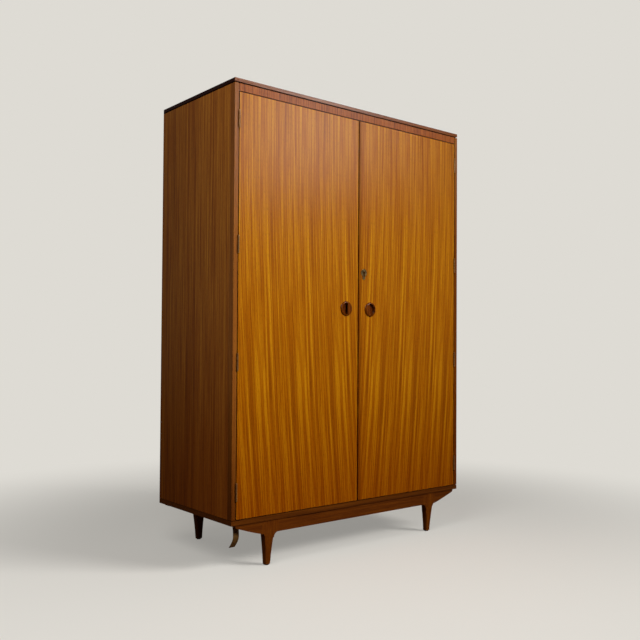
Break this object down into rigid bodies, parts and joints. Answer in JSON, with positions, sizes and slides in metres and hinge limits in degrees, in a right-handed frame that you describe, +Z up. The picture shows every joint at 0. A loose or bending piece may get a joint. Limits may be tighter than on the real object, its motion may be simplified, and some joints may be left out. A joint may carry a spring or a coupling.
{
  "type": "wardrobe with doors",
  "caption": "Tall teak-veneered wardrobe on a low legged stand, with inset hinged doors, round finger-hollow handles, a lock, a hanging rail and a hat shelf.",
  "frame": {"origin": "On the floor, in the middle of the width and of the depth with the hinge knuckles.", "axes": "+X to the right across the front, +Y from the doors to the back, +Z up."},
  "size_m": [1.22, 0.5458, 1.8],
  "materials": {
    "teak_veneer": "satin straight-grained teak veneer",
    "solid_teak": "satin solid teak lipping",
    "stand_teak": "dark satin teak",
    "inner_wood": "sanded, thinly sealed hardwood",
    "plain_ply": "unfinished plywood",
    "dark_turned_wood": "polished dark turned wood",
    "brass": "dulled brass",
    "steel": "plated steel",
    "black_plastic": "dark nylon",
    "tan_webbing": "tan leather strap"
  },
  "bodies": {
    "case": {"top_panel": "teak_veneer", "base_board": "teak_veneer", "left_side_panel": "teak_veneer", "right_side_panel": "teak_veneer", "left_front_lipping": "solid_teak", "right_front_lipping": "solid_teak", "frieze_rail": "teak_veneer", "door_stop": "inner_wood", "hat_shelf": "inner_wood", "shelf_bearers": "inner_wood", "hanging_rail": "steel", "rail_sockets": "steel", "socket_screws": "steel", "back_sheet_left": "plain_ply", "back_sheet_right": "plain_ply", "back_muntin": "inner_wood", "back_nails": "steel", "front_rail": "stand_teak", "back_rail": "stand_teak", "rail_wings": "stand_teak", "cross_rails": "stand_teak", "glue_blocks": "plain_ply", "leg_front_left": "stand_teak", "leg_front_right": "stand_teak", "leg_back_left": "stand_teak", "leg_back_right": "stand_teak", "foot_glides": "black_plastic", "stand_screws": "steel", "case_hinge_leaves_left": "brass", "case_hinge_leaves_right": "brass", "hinge_pins": "brass", "case_hinge_screws": "brass", "magnetic_catch": "black_plastic", "bolt_keeps": "brass", "strap": "tan_webbing", "strap_nail": "steel"},
    "left_door": {"left_door_panel": "teak_veneer", "left_door_lippings": "solid_teak", "left_handle": "dark_turned_wood", "left_handle_screws": "steel", "left_door_hinge_leaves": "brass", "left_door_hinge_screws": "brass", "lock_strike": "brass", "barrel_bolt_plates": "brass", "barrel_plate_screws": "brass"},
    "right_door": {"right_door_panel": "teak_veneer", "right_door_lippings": "solid_teak", "right_handle": "dark_turned_wood", "right_handle_screws": "steel", "right_door_hinge_leaves": "brass", "right_door_hinge_screws": "brass", "catch_plate": "steel", "catch_plate_screw": "steel", "keyhole_plate": "brass", "lock_case": "brass", "lock_screws": "brass"},
    "upper_bolt": {"upper_bolt_rod": "brass"},
    "lower_bolt": {"lower_bolt_rod": "brass"},
    "lock_bolt": {"lock_bolt": "brass"}
  },
  "joints": [
    {"name": "left_door_hinge", "type": "hinge", "parent": "case", "child": "left_door", "pos_m": [-0.5905, -0.27015, 0.97], "axis": [0, 0, -1], "range_deg": [0, 165]},
    {"name": "right_door_hinge", "type": "hinge", "parent": "case", "child": "right_door", "pos_m": [0.5905, -0.27015, 0.97], "axis": [0, 0, 1], "range_deg": [0, 165]},
    {"name": "lock_bolt_slide", "type": "slide", "parent": "right_door", "child": "lock_bolt", "axis": [-1, 0, 0], "range_m": [0, 0.009]},
    {"name": "upper_bolt_slide", "type": "slide", "parent": "left_door", "child": "upper_bolt", "axis": [0, 0, 1], "range_m": [0, 0.009]},
    {"name": "lower_bolt_slide", "type": "slide", "parent": "left_door", "child": "lower_bolt", "axis": [0, 0, -1], "range_m": [0, 0.009]}
  ]
}
